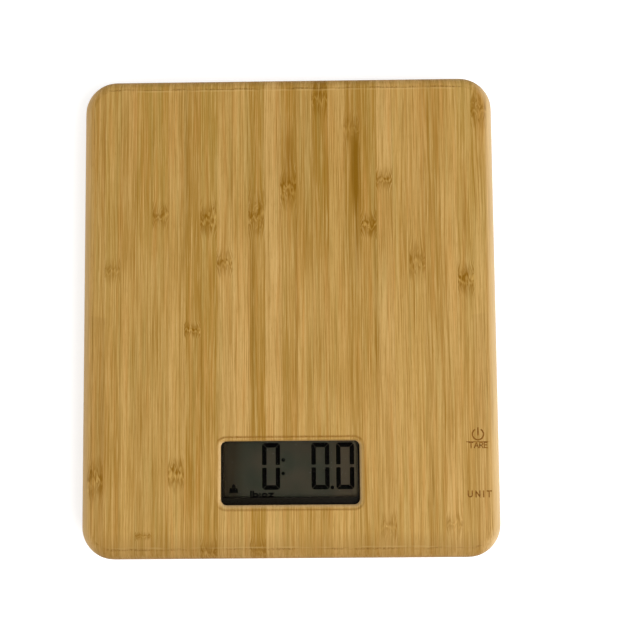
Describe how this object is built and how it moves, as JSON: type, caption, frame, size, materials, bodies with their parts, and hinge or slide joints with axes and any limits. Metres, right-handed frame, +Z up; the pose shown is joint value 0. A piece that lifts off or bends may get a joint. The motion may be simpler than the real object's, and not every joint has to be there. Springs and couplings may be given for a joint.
{
  "type": "kitchen scale",
  "caption": "Flat bamboo platform kitchen scale with a segment display, touch keys, sprung feet on load cells and a hinged battery door.",
  "frame": {"origin": "on the surface the feet stand on, under the middle of the board", "axes": "+X to the user's right, +Y away from the user, +Z up; the display is at the -Y end of the top"},
  "size_m": [0.172, 0.2, 0.0165],
  "materials": {
    "bamboo": "oiled, satin",
    "clear_lens": "clear, gloss",
    "foam": "matt, closed cell",
    "black_plastic": "satin moulded",
    "display_glass": "polariser film on glass",
    "lower_glass": "polariser film on glass",
    "reflector_film": "satin film",
    "contact_rubber": "striped rubber",
    "green_board": "solder mask",
    "chips": "moulded resin and solder",
    "steel": "zinc plated",
    "spring_metal": "gold flashed",
    "ribbon": "PVC",
    "white_plastic": "fine spark texture",
    "label_film": "satin film",
    "coin_steel": "polished",
    "nickel": "nickel plated",
    "red_wire": "PVC",
    "black_wire": "PVC",
    "sensor_steel": "nickel plated",
    "silicone": "soft, gloss",
    "holder_plastic": "moulded",
    "sensor_wire": "PVC, red, white and black",
    "paper_tape": "creped",
    "foot_plastic": "moulded",
    "foot_rubber": "matt"
  },
  "bodies": {
    "scale_body": {"platform_board": "bamboo", "display_lens": "clear_lens", "display_gasket": "foam", "display_frame": "black_plastic", "lcd_front_glass": "display_glass", "lcd_rear_glass": "lower_glass", "lcd_reflector": "reflector_film", "lcd_contact_strips": "contact_rubber", "main_circuit_board": "green_board", "board_components": "chips", "circuit_board_screws": "steel", "touch_circuit_board": "green_board", "tare_touch_spring": "spring_metal", "unit_touch_spring": "spring_metal", "touch_ribbon_cable": "ribbon", "base_cover": "white_plastic", "cover_screws": "steel", "rating_label": "label_film", "coin_cell": "coin_steel", "battery_positive_contact": "nickel", "battery_negative_contact": "nickel", "positive_lead": "red_wire", "negative_lead": "black_wire", "sensor_screws": "steel", "wire_tapes": "paper_tape", "sensor_holder_front_left": "holder_plastic", "load_cell_front_left": "sensor_steel", "strain_gauge_front_left": "silicone", "sensor_wires_front_left": "sensor_wire", "sensor_holder_front_right": "holder_plastic", "load_cell_front_right": "sensor_steel", "strain_gauge_front_right": "silicone", "sensor_wires_front_right": "sensor_wire", "sensor_holder_rear_left": "holder_plastic", "load_cell_rear_left": "sensor_steel", "strain_gauge_rear_left": "silicone", "sensor_wires_rear_left": "sensor_wire", "sensor_holder_rear_right": "holder_plastic", "load_cell_rear_right": "sensor_steel", "strain_gauge_rear_right": "silicone", "sensor_wires_rear_right": "sensor_wire"},
    "front_left_foot": {"foot_front_left": "foot_plastic", "foot_pad_front_left": "foot_rubber"},
    "front_right_foot": {"foot_front_right": "foot_plastic", "foot_pad_front_right": "foot_rubber"},
    "rear_left_foot": {"foot_rear_left": "foot_plastic", "foot_pad_rear_left": "foot_rubber"},
    "rear_right_foot": {"foot_rear_right": "foot_plastic", "foot_pad_rear_right": "foot_rubber"},
    "door": {"battery_door": "white_plastic"}
  },
  "joints": [
    {"name": "front_left_foot_slide", "type": "slide", "parent": "scale_body", "child": "front_left_foot", "axis": [0, 0, 1], "range_m": [0, 0.0004], "stiffness_N_per_m": 2000, "deforming": ["load_cell_front_left"]},
    {"name": "front_right_foot_slide", "type": "slide", "parent": "scale_body", "child": "front_right_foot", "axis": [0, 0, 1], "range_m": [0, 0.0004], "stiffness_N_per_m": 2000, "deforming": ["load_cell_front_right"]},
    {"name": "rear_left_foot_slide", "type": "slide", "parent": "scale_body", "child": "rear_left_foot", "axis": [0, 0, 1], "range_m": [0, 0.0004], "stiffness_N_per_m": 2000, "deforming": ["load_cell_rear_left"]},
    {"name": "rear_right_foot_slide", "type": "slide", "parent": "scale_body", "child": "rear_right_foot", "axis": [0, 0, 1], "range_m": [0, 0.0004], "stiffness_N_per_m": 2000, "deforming": ["load_cell_rear_right"]},
    {"name": "battery_door_hinge", "type": "hinge", "parent": "scale_body", "child": "door", "pos_m": [0, -0.0067, 0.0047], "axis": [1, 0, 0], "range_deg": [0, 90]}
  ]
}
